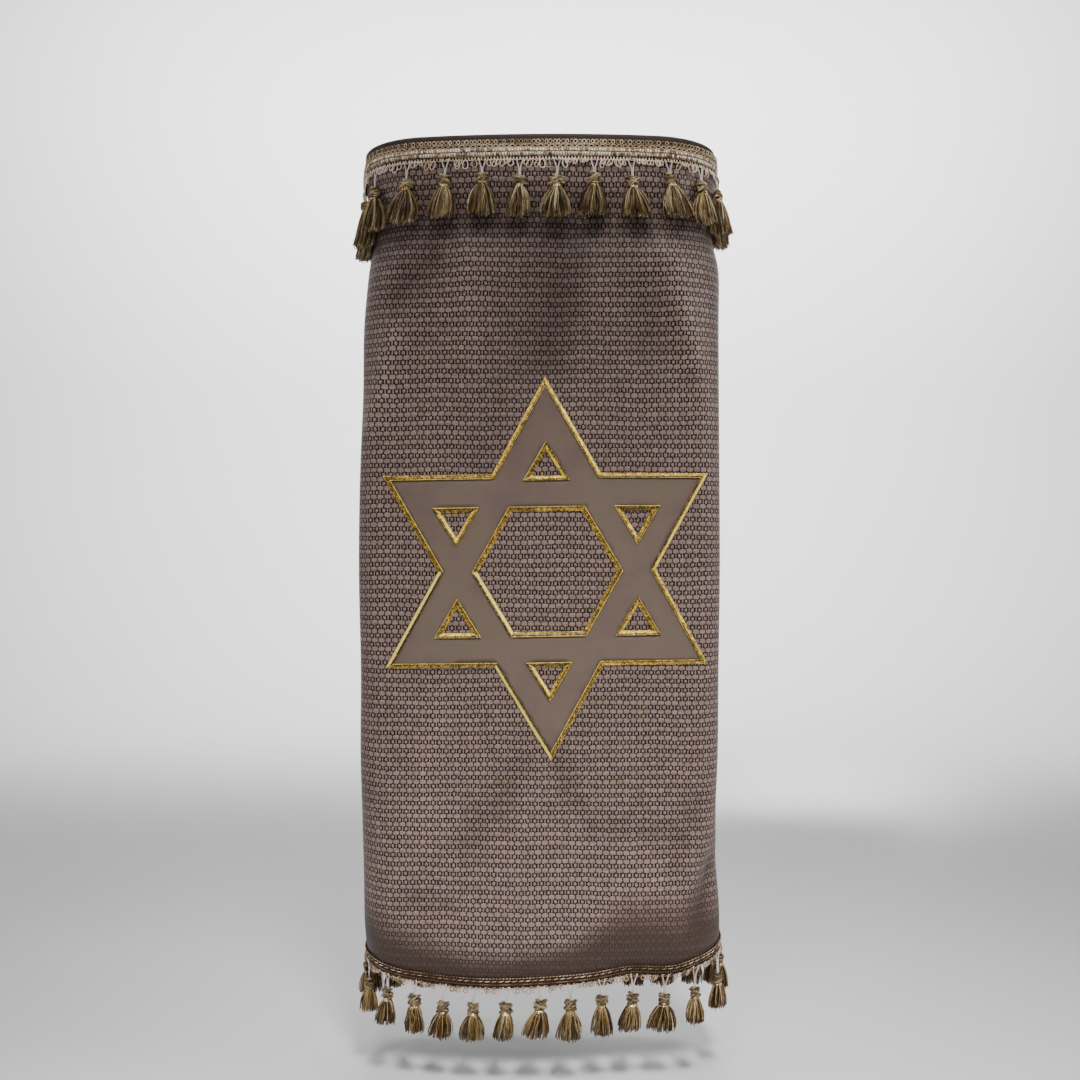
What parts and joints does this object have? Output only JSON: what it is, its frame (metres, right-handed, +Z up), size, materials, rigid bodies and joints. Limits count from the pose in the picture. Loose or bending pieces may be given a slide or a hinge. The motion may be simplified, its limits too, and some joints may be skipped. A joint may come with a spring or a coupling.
{
  "type": "torah mantle",
  "caption": "Hollow cloth cover for a scroll: flat covered top with two holes, soft rounded tube, tasselled braids and a gold-edged star.",
  "frame": {"origin": "centre of the covered board's underside, where the mantle rests when it is worn", "axes": "+Z up, the front with the star faces -Y, the width runs along X"},
  "size_m": [0.3949, 0.2243, 0.8626],
  "materials": {
    "mantle_cloth": "satin jacquard in taupe with dark brown outlines of small rounded cells",
    "board_cover": "dark brown woven cloth stretched over a board",
    "top_trim": "gimp braid of dull gold and brown thread, with tassels of olive and bronze yarn",
    "hem_trim": "narrow brown braid with gold lines, with tassels of olive and bronze yarn",
    "star_cloth": "matt taupe suede cloth",
    "gold_stitch": "raised satin stitch of shiny gold thread"
  },
  "bodies": {
    "root": {"mantle_wall": "mantle_cloth", "top_board": "board_cover", "top_braid": "top_trim", "hem_braid": "hem_trim", "star_panel": "star_cloth", "star_edging": "gold_stitch", "window_edging": "gold_stitch", "small_edging_1": "gold_stitch", "small_edging_2": "gold_stitch", "small_edging_3": "gold_stitch", "small_edging_4": "gold_stitch", "small_edging_5": "gold_stitch", "small_edging_6": "gold_stitch"}
  },
  "joints": []
}
